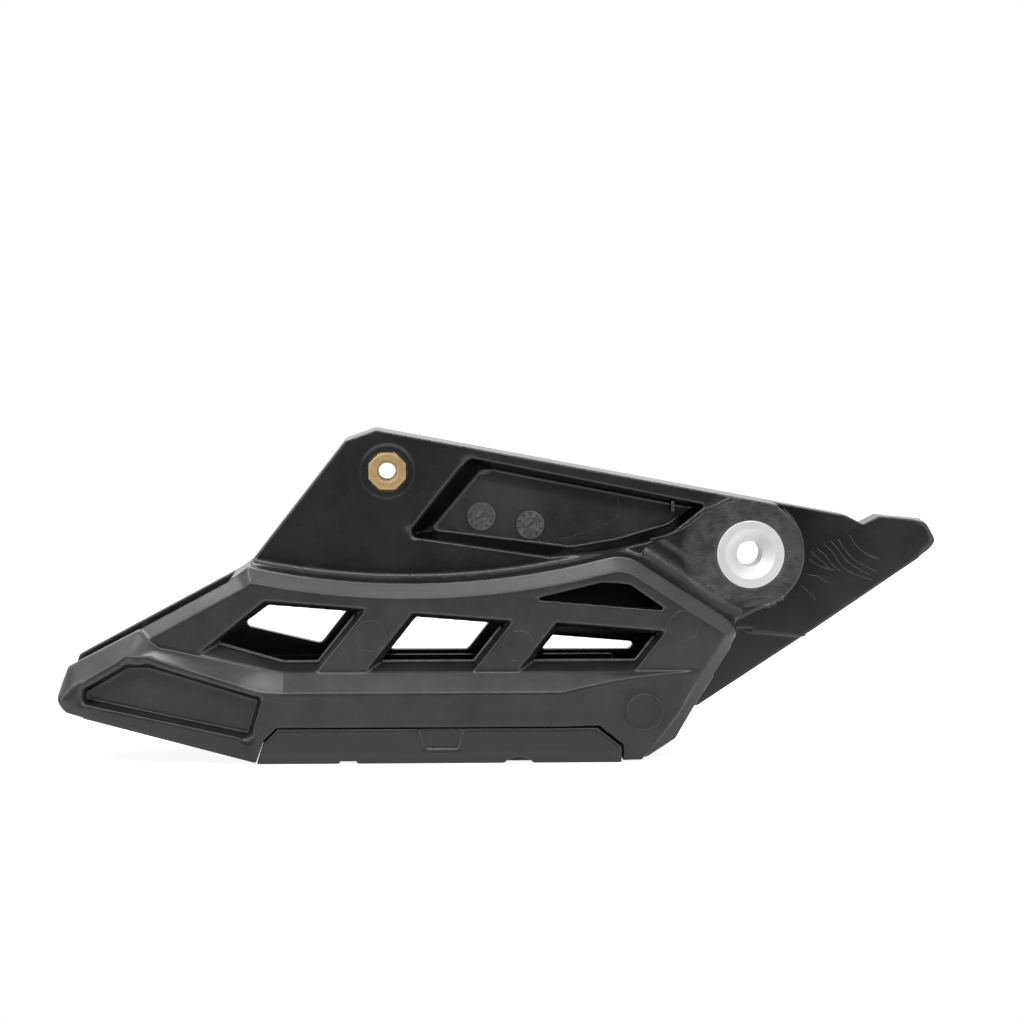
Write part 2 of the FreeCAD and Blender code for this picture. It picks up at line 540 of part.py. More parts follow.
# shallow pocket in the nose
nose_pocket_points = [
    ("-dims.nose_pocket_ahead", "-dims.nose_pocket_drop"),
    ("-dims.nose_pocket_top_ahead", "-dims.nose_pocket_top_drop"),
    ("-dims.nose_pocket_turn_ahead", "-dims.nose_pocket_top_drop"),
    ("-dims.nose_pocket_end_ahead", "-dims.nose_pocket_end_drop"),
    ("-dims.nose_pocket_low_ahead", "-dims.nose_pocket_low_drop"),
    ("-dims.nose_pocket_ahead", "-dims.nose_pocket_tail_drop"),
]
nose_sketch = outline(housing, "nose_pocket_face", "dims.belt_front", nose_pocket_points)
swept(housing, "Pocket", "nose_pocket", nose_sketch, "dims.nose_pocket_depth", "-dims.nose_pocket_draft")

# deep pocket in the plate, with sloping walls
pocket_mouth = [
    ("-dims.pocket_ahead", "dims.pocket_rise"),
    ("-dims.pocket_top_ahead", "dims.pocket_top_rise"),
    ("-dims.pocket_end_ahead", "dims.pocket_end_rise"),
    ("-dims.pocket_land_ahead", "dims.pocket_land_rise"),
    ("-dims.pocket_turn_ahead", "dims.pocket_turn_rise"),
    ("-dims.pocket_foot_ahead", "dims.pocket_foot_rise"),
    ("-dims.pocket_low_ahead", "-dims.pocket_low_drop"),
]
pocket_floor = [
    ("-dims.pocket_ahead + dims.pocket_side", "dims.pocket_rise + dims.pocket_sill"),
    ("-dims.pocket_top_ahead + dims.pocket_side * 0.7", "dims.pocket_top_rise - dims.pocket_head"),
    ("-dims.pocket_end_ahead - dims.pocket_head", "dims.pocket_end_rise - dims.pocket_sill / 2"),
    ("-dims.pocket_land_ahead - dims.pocket_sill", "dims.pocket_land_rise + dims.pocket_sill"),
    ("-dims.pocket_turn_ahead", "dims.pocket_turn_rise + dims.pocket_head"),
    ("-dims.pocket_foot_ahead + dims.pocket_head", "dims.pocket_foot_rise + dims.pocket_head"),
    ("-dims.pocket_low_ahead + dims.pocket_side", "-dims.pocket_low_drop + dims.pocket_head * 0.8"),
]
pocket_sections = [
    outline(housing, "pocket_rim", "dims.cove_radius", pocket_mouth),
    outline(housing, "pocket_mouth", "0", pocket_mouth),
    outline(housing, "pocket_floor", "-dims.pocket_depth", pocket_floor),
]
lofted(housing, "SubtractiveLoft", "pocket", pocket_sections)

# seats of the bush and the insert
bush_centre = ("0", "0")
flange_seat = circle(housing, "flange_seat_face", "0", bush_centre, "dims.flange_radius + dims.metal_fit")
swept(housing, "Pocket", "flange_seat", flange_seat, "dims.flange_depth")
bush_seat = circle(housing, "bush_seat_face", "0", bush_centre, "dims.bush_radius + dims.metal_fit")
swept(housing, "Pocket", "bush_seat", bush_seat, "dims.bush_length")
head_seat = circle(housing, "head_seat_face", "-dims.bush_length", bush_centre, "dims.head_radius")
swept(housing, "Pocket", "head_seat", head_seat, "dims.shell_back")
spot = circle(housing, "spot_face", "0", insert_centre, "dims.spot_radius")
swept(housing, "Pocket", "spot", spot, "dims.spot_depth")
insert_seat = circle(housing, "insert_seat_face", "0", insert_centre, "dims.insert_radius + dims.metal_fit")
swept(housing, "Pocket", "insert_seat", insert_seat, "dims.insert_length")
relief = circle(housing, "relief_face", "0", insert_centre, "dims.relief_radius")
swept(housing, "Pocket", "relief", relief, "dims.shell_back")
doc.recompute()


# Slider: wear block let into the bottom of the cage

slider = new_body("slider")
strip_left = "-dims.slot_left_ahead + dims.slider_fit"
strip_right = "-dims.slot_right_ahead - dims.slider_fit"
strip_top = "-dims.slot_top_drop - dims.slider_fit"
strip_base = "-dims.base_drop - dims.slider_proud"
strip_points = [
    (f"{strip_left} - dims.slot_flare", strip_base),
    (f"{strip_left} - dims.slot_flare", "-dims.base_drop"),
    (strip_left, f"{strip_top} - {left_corner}"),
    (f"{strip_left} + dims.slot_corner_left", strip_top),
    (f"{strip_right} - dims.slot_corner_right", strip_top),
    (strip_right, f"{strip_top} - {right_corner}"),
    (strip_right, strip_base),
]
strip_sketch = outline(slider, "strip_side", "-dims.shell_back", strip_points)
swept(slider, "Pad", "strip", strip_sketch, "dims.shell_back + dims.belt_front")

# block between the walls, with a channel that the chain wears down
block_points = [
    (strip_left, f"{strip_top} - {left_corner}"),
    (strip_left, "-dims.cheek_drop - dims.slider_fit"),
    (strip_right, "-dims.cheek_drop - dims.slider_fit"),
    (strip_right, f"{strip_top} - {left_corner}"),
]
block_back = "-dims.shell_back + dims.far_wall + dims.slider_fit"
block_sketch = outline(slider, "block_side", block_back, block_points)
swept(slider, "Pad", "block", block_sketch, f"{tunnel_depth} - 2 * dims.slider_fit")
channel_points = [
    ("-dims.slot_left_ahead - dims.slot_flare", "-dims.wear_floor_drop"),
    ("-dims.slot_left_ahead - dims.slot_flare", "0"),
    ("0", "0"),
    ("0", "-dims.wear_floor_drop"),
]
cheek = "(dims.cheek_wall + dims.slider_fit)"
channel_sketch = outline(slider, "channel_side", f"{inner_front} - {cheek}", channel_points)
swept(slider, "Pocket", "channel", channel_sketch, f"{tunnel_depth} - 2 * {cheek}")

# bevelled lower hem, catch mark and gate notch on the near side
hem_points = [
    ("-dims.belt_front", f"{strip_base} + dims.hem_bevel"),
    ("-dims.belt_front + dims.hem_bevel_in", strip_base),
    ("-dims.belt_front + dims.hem_bevel_in", "-2 * dims.base_drop"),
    ("-2 * dims.belt_front", "-2 * dims.base_drop"),
    ("-2 * dims.belt_front", f"{strip_base} + dims.hem_bevel"),
]
hem_sketch = outline(slider, "hem_section", "-dims.nose_ahead", hem_points, role="YZ_Plane")
swept(slider, "Pocket", "hem", hem_sketch, "dims.nose_ahead", reverse=True)
catch_points = [
    ("-dims.catch_ahead - dims.catch_width / 2", "-dims.slot_top_drop"),
    ("-dims.catch_ahead + dims.catch_width / 2", "-dims.slot_top_drop"),
    ("-dims.catch_ahead + dims.catch_width / 2 - dims.catch_lean", "-dims.slot_top_drop - dims.catch_height"),
    ("-dims.catch_ahead - dims.catch_width / 2 + dims.catch_lean", "-dims.slot_top_drop - dims.catch_height"),
]
catch_sketch = outline(slider, "catch_face", "dims.belt_front", catch_points)
swept(slider, "Pocket", "catch", catch_sketch, "dims.catch_depth")
nick_points = [
    ("-dims.nick_ahead - dims.nick_width / 2", "-2 * dims.base_drop"),
    ("-dims.nick_ahead - dims.nick_width / 2", f"{strip_base} + dims.nick_rise"),
    ("-dims.nick_ahead + dims.nick_width / 2", f"{strip_base} + dims.nick_rise"),
    ("-dims.nick_ahead + dims.nick_width / 2", "-2 * dims.base_drop"),
]
nick_sketch = outline(slider, "nick_face", "dims.belt_front", nick_points)
swept(slider, "Pocket", "nick", nick_sketch, "dims.gate_depth")
gate_centre = ("-dims.gate_ahead", f"{strip_base} - dims.gate_radius + dims.gate_rise")
gate_sketch = circle(slider, "gate_face", "dims.belt_front", gate_centre, "dims.gate_radius")
swept(slider, "Pocket", "gate", gate_sketch, "dims.gate_depth")


# Metal parts, turned about the Y axis

front_insert = new_body("front_insert")
groove_from = "(dims.insert_length - dims.insert_groove_width) / 2"
groove_to = "(dims.insert_length + dims.insert_groove_width) / 2"
insert_points = [
    ("dims.thread_radius + dims.thread_chamfer", "0"),
    ("dims.insert_radius - dims.thread_chamfer", "0"),
    ("dims.insert_radius", "dims.thread_chamfer"),
    ("dims.insert_radius", groove_from),
    ("dims.insert_radius - dims.insert_groove", groove_from),
    ("dims.insert_radius - dims.insert_groove", groove_to),
    ("dims.insert_radius", groove_to),
    ("dims.insert_radius", "dims.insert_length"),
    ("dims.thread_radius + dims.thread_chamfer", "dims.insert_length"),
    ("dims.thread_radius", "dims.insert_length - dims.thread_chamfer"),
    ("dims.thread_radius", "dims.thread_chamfer"),
]
turned(front_insert, "insert_turning", insert_points)
front_insert.setExpression("Placement.Base.x", "-dims.insert_ahead")
front_insert.setExpression("Placement.Base.z", "dims.insert_above")

rear_bush = new_body("rear_bush")
bush_points = [
    ("dims.dish_radius", "0"),
    ("dims.flange_radius - dims.bush_chamfer", "0"),
    ("dims.flange_radius", "dims.bush_chamfer"),
    ("dims.flange_radius", "dims.flange_depth"),
    ("dims.bush_radius", "dims.flange_depth"),
    ("dims.bush_radius", "dims.bush_length"),
    ("dims.bolt_radius", "dims.bush_length"),
    ("dims.bolt_radius", "dims.dish_depth"),
]
turned(rear_bush, "bush_turning", bush_points)
doc.recompute()


# Checks and export

for item in doc.Objects:
    if "Invalid" in item.State or "Error" in item.State:
        raise RuntimeError(f"{item.Name} did not build")
os.makedirs("parts", exist_ok=True)
for body in (housing, slider, front_insert, rear_bush):
    if body.Shape.isNull() or not body.Shape.isValid() or len(body.Shape.Solids) != 1:
        raise RuntimeError(f"{body.Label} is not one sound solid")
    body.Shape.exportStep(f"parts/{body.Label}.step")
    print(body.Label, round(body.Shape.Volume), body.Shape.BoundBox)
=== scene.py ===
import math
import random

import bmesh
import bpy
from mathutils import Matrix, Vector


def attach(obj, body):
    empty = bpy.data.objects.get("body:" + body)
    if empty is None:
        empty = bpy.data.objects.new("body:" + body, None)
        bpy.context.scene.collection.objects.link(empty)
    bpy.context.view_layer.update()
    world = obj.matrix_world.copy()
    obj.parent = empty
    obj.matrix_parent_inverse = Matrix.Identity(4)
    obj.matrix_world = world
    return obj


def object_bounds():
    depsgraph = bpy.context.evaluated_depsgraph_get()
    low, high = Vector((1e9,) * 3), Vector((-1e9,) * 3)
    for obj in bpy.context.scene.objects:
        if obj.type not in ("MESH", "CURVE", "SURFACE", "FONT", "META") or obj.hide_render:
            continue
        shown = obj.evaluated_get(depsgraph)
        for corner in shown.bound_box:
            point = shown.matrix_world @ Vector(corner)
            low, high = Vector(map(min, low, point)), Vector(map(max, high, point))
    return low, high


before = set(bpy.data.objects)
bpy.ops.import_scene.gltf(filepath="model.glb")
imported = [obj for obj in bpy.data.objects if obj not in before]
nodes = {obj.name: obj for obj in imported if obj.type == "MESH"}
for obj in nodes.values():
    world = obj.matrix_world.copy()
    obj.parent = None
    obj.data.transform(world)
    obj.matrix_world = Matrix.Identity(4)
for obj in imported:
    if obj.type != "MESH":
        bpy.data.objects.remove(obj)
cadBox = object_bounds()
scene = bpy.context.scene
mm = 0.001
faceY = -7.3  # the bolted face, in mm in the part's frame
print("frame loaded:", sorted(nodes))


def spot(x, behind, z):
    # a point in metres from mm, with the depth counted from the bolted face
    return Vector((x, behind + faceY, z)) * mm


def link(tree, out, socket):
    tree.links.new(out, socket)


def addNode(tree, kind, **inputs):
    node = tree.nodes.new(kind)
    for key, value in inputs.items():
        node.inputs[key].default_value = value
    return node


def mathNode(tree, operation, first, second=None, clamp=False):
    node = tree.nodes.new("ShaderNodeMath")
    node.operation = operation
    node.use_clamp = clamp
    for socket, value in zip(node.inputs, (first, second)):
        if value is None:
            continue
        if isinstance(value, (int, float)):
            socket.default_value = value
        else:
            link(tree, value, socket)
    return node.outputs[0]


def rangeNode(tree, value, fromLow, fromHigh, toLow, toHigh):
    node = addNode(tree, "ShaderNodeMapRange")
    node.inputs["From Min"].default_value = fromLow
    node.inputs["From Max"].default_value = fromHigh
    node.inputs["To Min"].default_value = toLow
    node.inputs["To Max"].default_value = toHigh
    link(tree, value, node.inputs["Value"])
    return node.outputs["Result"]


def noiseNode(tree, vector, scale, detail=3.0, rough=0.55):
    node = addNode(tree, "ShaderNodeTexNoise", Scale=scale, Detail=detail, Roughness=rough)
    link(tree, vector, node.inputs["Vector"])
    return node.outputs[0]


def bumpNode(tree, height, strength, depth, below=None):
    node = addNode(tree, "ShaderNodeBump", Strength=strength, Distance=depth)
    link(tree, height, node.inputs["Height"])
    if below is not None:
        link(tree, below, node.inputs["Normal"])
    return node.outputs[0]


# how sharp and how far upward an edge is before it gets a painted highlight, and how much painted shade darkens
# recesses
edgeHighlightSet = {"sharp": (0.54, 0.6), "upward": (-0.1, 0.45), "least": 0.15}
recessShadeSet = {"samples": 6, "power": 1.8}


def wornEdges(tree, s):
    # painted highlight: 1 on the outer edges that face up, 0 elsewhere
    shape = tree.nodes.new("ShaderNodeNewGeometry")
    edge = rangeNode(tree, shape.outputs["Pointiness"], *s["sharp"], 0.0, 1.0)
    facing = tree.nodes.new("ShaderNodeSeparateXYZ")
    link(tree, shape.outputs["Normal"], facing.inputs[0])
    return mathNode(tree, "MULTIPLY", edge, rangeNode(tree, facing.outputs["Z"], *s["upward"], s["least"], 1.0))


def openness(tree, reach, s):
    # painted shade: 1 on open faces, less in recesses narrower than the reach in mm
    node = addNode(tree, "ShaderNodeAmbientOcclusion", Distance=reach * mm)
    node.samples = s["samples"]
    return mathNode(tree, "POWER", node.outputs["AO"], s["power"])


def splitPlace(tree, place):
    parts = tree.nodes.new("ShaderNodeSeparateXYZ")
    link(tree, place, parts.inputs[0])
    return parts


def inMiddle(tree, parts, axis, middle):
    # signed distance along one axis from a point in mm, with Y counted from the bolted face
    start = middle + faceY if axis == "Y" else middle
    return mathNode(tree, "SUBTRACT", parts.outputs[axis], start * mm)


def inBox(tree, parts, box):
    # 1 inside a box that gives the middle and half size in mm for each axis
    inside = None
    for axis, (middle, half) in box.items():
        away = mathNode(tree, "ABSOLUTE", inMiddle(tree, parts, axis, middle))
        near = mathNode(tree, "LESS_THAN", away, half * mm)
        inside = near if inside is None else mathNode(tree, "MULTIPLY", inside, near)
    return inside


def inOval(tree, parts, oval):
    # square of the distance from an oval's middle, 1 on its rim
    total = None
    for axis, (middle, reach) in oval.items():
        share = mathNode(tree, "DIVIDE", inMiddle(tree, parts, axis, middle), reach * mm)
        square = mathNode(tree, "MULTIPLY", share, share)
        total = square if total is None else mathNode(tree, "ADD", total, square)
    return total


def setGrey(tree, shader, value):
    colour = tree.nodes.new("ShaderNodeCombineColor")
    for channel in colour.inputs:
        link(tree, value, channel)
    link(tree, colour.outputs[0], shader.inputs["Base Color"])


def newMaterial(name):
    mat = bpy.data.materials.new(name)
    mat.use_nodes = True
    tree = mat.node_tree
    coord = tree.nodes.new("ShaderNodeTexCoord")
    return mat, tree, tree.nodes["Principled BSDF"], coord.outputs["Object"]


# camera of the photograph, in mm from the bolted face
cameraSet = {"place": (-94.76, -777.91, 58.25), "aim": (-62.402, 0.0, 11.273), "lens": 105.47, "sensor": 36.0}


def makeCamera(s):
    data = bpy.data.cameras.new("photoCamera")
    data.lens = s["lens"]
    data.sensor_width = s["sensor"]
    data.clip_start, data.clip_end = 0.01, 20
    cam = bpy.data.objects.new("photoCamera", data)
    scene.collection.objects.link(cam)
    place, aim = spot(*s["place"]), spot(*s["aim"])
    cam.location = place
    cam.rotation_euler = (aim - place).to_track_quat("-Z", "Y").to_euler()
    scene.camera = cam


makeCamera(cameraSet)

# soft studio: white room, pale floor, boxes above and behind, narrow strips in front that draw the edges
studio = {"room": 0.25, "white": 1.0, "front": 0.1, "frontCone": (-0.95, -0.55), "middle": -0.06,
          "floorSize": 6.0, "floorEdge": -0.22, "floorGlow": 0.9, "floorColour": 0.45}
lampSet = {
    "topBox": {"at": (-0.12, 0.15, 0.8), "size": (1.2, 0.25), "watts": 8.0},
    "backBox": {"at": (0.0, 0.75, 0.5), "size": (1.2, 0.3), "watts": 3.0},
    "frontStrip": {"at": (-0.06, -0.6, 0.66), "size": (1.1, 0.05), "watts": 4.2},
    "leftStrip": {"at": (-0.75, -0.5, 0.4), "size": (0.08, 0.7), "watts": 1.8},
    "rightStrip": {"at": (0.75, -0.55, 0.25), "size": (0.08, 0.6), "watts": 0.8},
}


def seenDirectly(tree):
    # 1 for what the camera sees, straight or in a reflection
    path = tree.nodes.new("ShaderNodeLightPath")
    both = mathNode(tree, "ADD", path.outputs["Is Camera Ray"], path.outputs["Is Glossy Ray"])
    return mathNode(tree, "ADD", both, path.outputs["Is Transmission Ray"], clamp=True)


def makeStudio(s, lamps):
    world = bpy.data.worlds.new("whiteRoom")
    scene.world = world
    world.use_nodes = True
    tree = world.node_tree
    dim = tree.nodes["Background"]
    dim.inputs["Color"].default_value = (1, 1, 1, 1)
    dim.inputs["Strength"].default_value = s["room"]
    bright = addNode(tree, "ShaderNodeBackground", Color=(1, 1, 1, 1))
    # reflections see a darker front, where a room has its open side
    parts = splitPlace(tree, tree.nodes.new("ShaderNodeTexCoord").outputs["Generated"])
    openSide = rangeNode(tree, parts.outputs["Y"], *s["frontCone"], s["front"], s["white"])
    straight = tree.nodes.new("ShaderNodeLightPath").outputs["Is Camera Ray"]
    link(tree, mathNode(tree, "MAXIMUM", openSide, straight), bright.inputs["Strength"])
    mix = tree.nodes.new("ShaderNodeMixShader")
    link(tree, seenDirectly(tree), mix.inputs[0])
    link(tree, dim.outputs[0], mix.inputs[1])
    link(tree, bright.outputs[0], mix.inputs[2])
    link(tree, mix.outputs[0], tree.nodes["World Output"].inputs[0])

    floorMiddle = (s["middle"], s["floorEdge"] + s["floorSize"] / 2, cadBox[0].z)
    bpy.ops.mesh.primitive_plane_add(size=s["floorSize"], location=floorMiddle)
    floor = bpy.context.object
    floor.name = "floor"
    mat, ftree, shader, _ = newMaterial("paleFloor")
    shader.inputs["Base Color"].default_value = (*[s["floorColour"]] * 3, 1)
    shader.inputs["Roughness"].default_value = 1.0
    shader.inputs["Specular IOR Level"].default_value = 0.0
    glow = addNode(ftree, "ShaderNodeEmission", Color=(1, 1, 1, 1))
    link(ftree, mathNode(ftree, "MULTIPLY", seenDirectly(ftree), s["floorGlow"]), glow.inputs["Strength"])
    both = ftree.nodes.new("ShaderNodeAddShader")
    link(ftree, shader.outputs[0], both.inputs[0])
    link(ftree, glow.outputs[0], both.inputs[1])
    link(ftree, both.outputs[0], ftree.nodes["Material Output"].inputs[0])
    floor.data.materials.append(mat)

    target = Vector((s["middle"], 0, 0))
    for name, lamp in lamps.items():
        data = bpy.data.lights.new(name, "AREA")
        data.shape = "RECTANGLE"
        data.size, data.size_y = lamp["size"]
        data.energy = lamp["watts"]
        obj = bpy.data.objects.new(name, data)
        scene.collection.objects.link(obj)
        obj.location = lamp["at"]
        obj.rotation_euler = (target - obj.location).to_track_quat("-Z", "Y").to_euler()


makeStudio(studio, lampSet)
scene.view_settings.view_transform = "Standard"
print("studio ready")

# black plastic of the housing: satin skin, fine grain, slow waves, a paler wrinkled land round the bush
housingSet = {
    "dark": 0.021, "cage": 0.036, "cageDepth": (-8.5, -7.0), "cloud": 90.0, "cloudTone": (0.65, 1.4),
    "pocket": 2.2, "pocketDepth": 5.0, "pocketFade": (0.3, 0.7), "edgeHighlight": 0.13, "edgeGloss": 0.08, "recessShadeReach": 30.0,
    "rough": (0.22, 0.34), "roughPatch": 38.0, "cageRough": 0.04, "gloss": 0.5,
    "grain": {"size": 2400.0, "strength": 0.22, "depth": 0.05}, "wave": {"size": 55.0, "strength": 0.35, "depth": 0.12},
}
# painted deep shade in the three-cornered opening and on the walls of the plate's pocket, below the plate's sloped top
paintedDeepShadeSet = {
    "opening": {"X": (-40.2, 16.5), "Z": (-10.8, 4.7), "Y": (7.75, 12.75)},
    "wall": {"Y": (2.6, 1.9), "X": (-52.0, 40.5)}, "slope": 0.182, "top": 13.05, "tone": 0.25, "gloss": 0.12,
}
# painted highlight on the ledge, ahead of its bend
ledgeHighlightSet = {"oval": {"X": (-124.5, 9.0), "Z": (-31.6, 3.2)}, "fade": (0.1, 1.0), "edge": (0.9, 1.1), "tone": 0.11,
            "bend": -121.5, "depth": -10.5}
# pale land round the bush
landSet = {"oval": {"X": (-1.5, 17.0), "Z": (1.5, 15.0)}, "fade": (0.85, 1.02), "depth": (0.4, 0.7),
           "tone": (0.02975, 0.085), "cloud": 260.0,
           "folds": {"size": 210.0, "strength": 0.9, "depth": 0.6, "squash": (1.0, 1.0, 2.2), "turn": 35}}


def makeHousingBlack(s, paintedDeep, ledgeGlint, pale):
    mat, tree, shader, place = newMaterial("housingBlack")
    parts = splitPlace(tree, place)
    # the land is an oval round the bush, only on the bolted face
    oval = mathNode(tree, "SQRT", inOval(tree, parts, pale["oval"]))
    near = rangeNode(tree, oval, *pale["fade"], 1.0, 0.0)
    front, back = [(faceY + depth) * mm for depth in pale["depth"]]
    land = mathNode(tree, "MULTIPLY", near, rangeNode(tree, parts.outputs["Y"], front, back, 1.0, 0.0))
    # cloudy colour, paler on the cage and on the pocket's floor
    cloud = noiseNode(tree, place, s["cloud"], 5.0, 0.6)
    front, back = [(faceY + depth) * mm for depth in s["cageDepth"]]
    onCage = rangeNode(tree, parts.outputs["Y"], front, back, 1.0, 0.0)
    depthTone = rangeNode(tree, onCage, 0.0, 1.0, s["dark"], s["cage"])
    tone = mathNode(tree, "MULTIPLY", depthTone, rangeNode(tree, cloud, 0.3, 0.7, *s["cloudTone"]))
    offFloor = mathNode(tree, "ABSOLUTE", inMiddle(tree, parts, "Y", s["pocketDepth"]))
    near, far = [reach * mm for reach in s["pocketFade"]]
    tone = mathNode(tree, "MULTIPLY", tone, rangeNode(tree, offFloor, near, far, s["pocket"], 1.0))
    # painted deep shade: darker colour and less gloss
    wall = inBox(tree, parts, paintedDeep["wall"])
    slope = mathNode(tree, "ADD", parts.outputs["Z"], mathNode(tree, "MULTIPLY", parts.outputs["X"], paintedDeep["slope"]))
    wall = mathNode(tree, "MULTIPLY", wall, mathNode(tree, "LESS_THAN", slope, paintedDeep["top"] * mm))
    paintedShadeMask = mathNode(tree, "MAXIMUM", inBox(tree, parts, paintedDeep["opening"]), wall)
    tone = mathNode(tree, "MULTIPLY", tone, rangeNode(tree, paintedShadeMask, 0.0, 1.0, 1.0, paintedDeep["tone"]))
    link(tree, rangeNode(tree, paintedShadeMask, 0.0, 1.0, s["gloss"], paintedDeep["gloss"]), shader.inputs["Specular IOR Level"])
    # painted highlight on the ledge
    away = inOval(tree, parts, ledgeGlint["oval"])
    paintedGlint = rangeNode(tree, away, *ledgeGlint["fade"], ledgeGlint["tone"], 0.0)
    for axis, end in (("X", ledgeGlint["bend"]), ("Y", faceY + ledgeGlint["depth"])):
        paintedGlint = mathNode(tree, "MULTIPLY", paintedGlint, mathNode(tree, "LESS_THAN", parts.outputs[axis], end * mm))
    tone = mathNode(tree, "ADD", tone, paintedGlint)
    # painted highlight on the edges outside the ledge's painted highlight, then painted shade in recesses
    edgeHighlight = mathNode(tree, "MULTIPLY", wornEdges(tree, edgeHighlightSet), rangeNode(tree, away, *ledgeGlint["edge"], 0.0, 1.0))
    tone = mathNode(tree, "ADD", tone, mathNode(tree, "MULTIPLY", edgeHighlight, s["edgeHighlight"]))
    tone = mathNode(tree, "MULTIPLY", tone, openness(tree, s["recessShadeReach"], recessShadeSet))
    mixTone = tree.nodes.new("ShaderNodeMix")
    link(tree, land, mixTone.inputs[0])
    link(tree, tone, mixTone.inputs[2])
    paleTone = rangeNode(tree, noiseNode(tree, place, pale["cloud"], 4.0, 0.65), 0.35, 0.7, *pale["tone"])
    link(tree, paleTone, mixTone.inputs[3])
    setGrey(tree, shader, mixTone.outputs[0])
    # sheen in patches, duller on the cage and the land
    sheen = rangeNode(tree, noiseNode(tree, place, s["roughPatch"], 4.0, 0.6), 0.3, 0.7, *s["rough"])
    duller = mathNode(tree, "MULTIPLY", mathNode(tree, "MAXIMUM", land, onCage), s["cageRough"])
    rough = mathNode(tree, "ADD", sheen, duller)
    polish = mathNode(tree, "MULTIPLY", edgeHighlight, s["edgeGloss"])
    link(tree, mathNode(tree, "SUBTRACT", rough, polish), shader.inputs["Roughness"])
    # slow waves of a moulded wall, fine grain, wrinkles on the land
    bump = None
    for relief in (s["wave"], s["grain"]):
        height = noiseNode(tree, place, relief["size"], 2.0)
        bump = bumpNode(tree, height, relief["strength"], relief["depth"] * mm, bump)
    folds = pale["folds"]
    stretch = addNode(tree, "ShaderNodeMapping", Scale=folds["squash"], Rotation=(0, math.radians(folds["turn"]), 0))
    link(tree, place, stretch.inputs["Vector"])
    creases = mathNode(tree, "MULTIPLY", noiseNode(tree, stretch.outputs[0], folds["size"], 5.0, 0.6), land)
    link(tree, bumpNode(tree, creases, folds["strength"], folds["depth"] * mm, bump), shader.inputs["Normal"])
    return mat


# black plastic of the wear slider: a little duller, drawn along its length
sliderSet = {"dark": 0.018, "cloud": 120.0, "cloudTone": (0.85, 1.25), "edgeHighlight": 0.04, "rough": (0.3, 0.42), "gloss": 0.5,
             "cheek": 0.15, "cheekHeight": (-42.0, -39.0),
             "drawn": {"size": 900.0, "squash": (0.12, 1.0, 1.0), "strength": 0.12, "depth": 0.06},
             "grain": {"size": 2200.0, "strength": 0.2, "depth": 0.05}}


def makeSliderBlack(s):
    mat, tree, shader, place = newMaterial("sliderBlack")
    shader.inputs["Specular IOR Level"].default_value = s["gloss"]
    lines, grain = s["drawn"], s["grain"]
    stretch = addNode(tree, "ShaderNodeMapping", Scale=lines["squash"])
    link(tree, place, stretch.inputs["Vector"])
    drawn = noiseNode(tree, stretch.outputs[0], lines["size"], 3.0)
    tones = [s["dark"] * share for share in s["cloudTone"]]
    tone = rangeNode(tree, noiseNode(tree, place, s["cloud"], 4.0), 0.3, 0.7, *tones)
    # painted highlight on the sharp edges that face up
    tone = mathNode(tree, "ADD", tone, mathNode(tree, "MULTIPLY", wornEdges(tree, edgeHighlightSet), s["edgeHighlight"]))
    # painted shade darkens the cheeks inside the cage; the chain grease there is a guess
    low, high = [height * mm for height in s["cheekHeight"]]
    cheekShade = rangeNode(tree, splitPlace(tree, place).outputs["Z"], low, high, 1.0, s["cheek"])
    setGrey(tree, shader, mathNode(tree, "MULTIPLY", tone, cheekShade))
    link(tree, rangeNode(tree, drawn, 0.3, 0.7, *s["rough"]), shader.inputs["Roughness"])
    bump = bumpNode(tree, noiseNode(tree, place, grain["size"], 2.0), grain["strength"], grain["depth"] * mm)
    link(tree, bumpNode(tree, drawn, lines["strength"], lines["depth"] * mm, bump), shader.inputs["Normal"])
    return mat


# paler skin of flow marks and of the dials' smooth faces; the same grey is a painted highlight on the window lips
streakSet = {"tone": (0.05, 0.1), "rough": (0.3, 0.45), "cloud": 700.0,
             "grain": {"size": 2600.0, "strength": 0.2, "depth": 0.04}}
dialFaceSet = {**streakSet, "tone": (0.075, 0.14), "rough": (0.3, 0.42)}


def makePaleBlack(name, s):
    mat, tree, shader, place = newMaterial(name)
    cloud, grain = noiseNode(tree, place, s["cloud"], 4.0, 0.6), s["grain"]
    setGrey(tree, shader, rangeNode(tree, cloud, 0.35, 0.65, *s["tone"]))
    link(tree, rangeNode(tree, cloud, 0.3, 0.7, *s["rough"]), shader.inputs["Roughness"])
    bump = bumpNode(tree, noiseNode(tree, place, grain["size"], 2.0), grain["strength"], grain["depth"] * mm)
    link(tree, bump, shader.inputs["Normal"])
    return mat


# turned metals: rings from the tool round the hole's axis
insertMiddle = (-94.8, 21.9)
bushSet = {"colour": (0.76, 0.765, 0.77), "spread": 0.88, "rough": (0.5, 0.62), "rings": 900.0, "middle": (0.0, 0.0),
           "edge": 0.15}
insertSet = {"colour": (0.66, 0.47, 0.24), "spread": 0.55, "rough": (0.48, 0.62), "rings": 700.0,
             "middle": insertMiddle, "edge": 0.2}


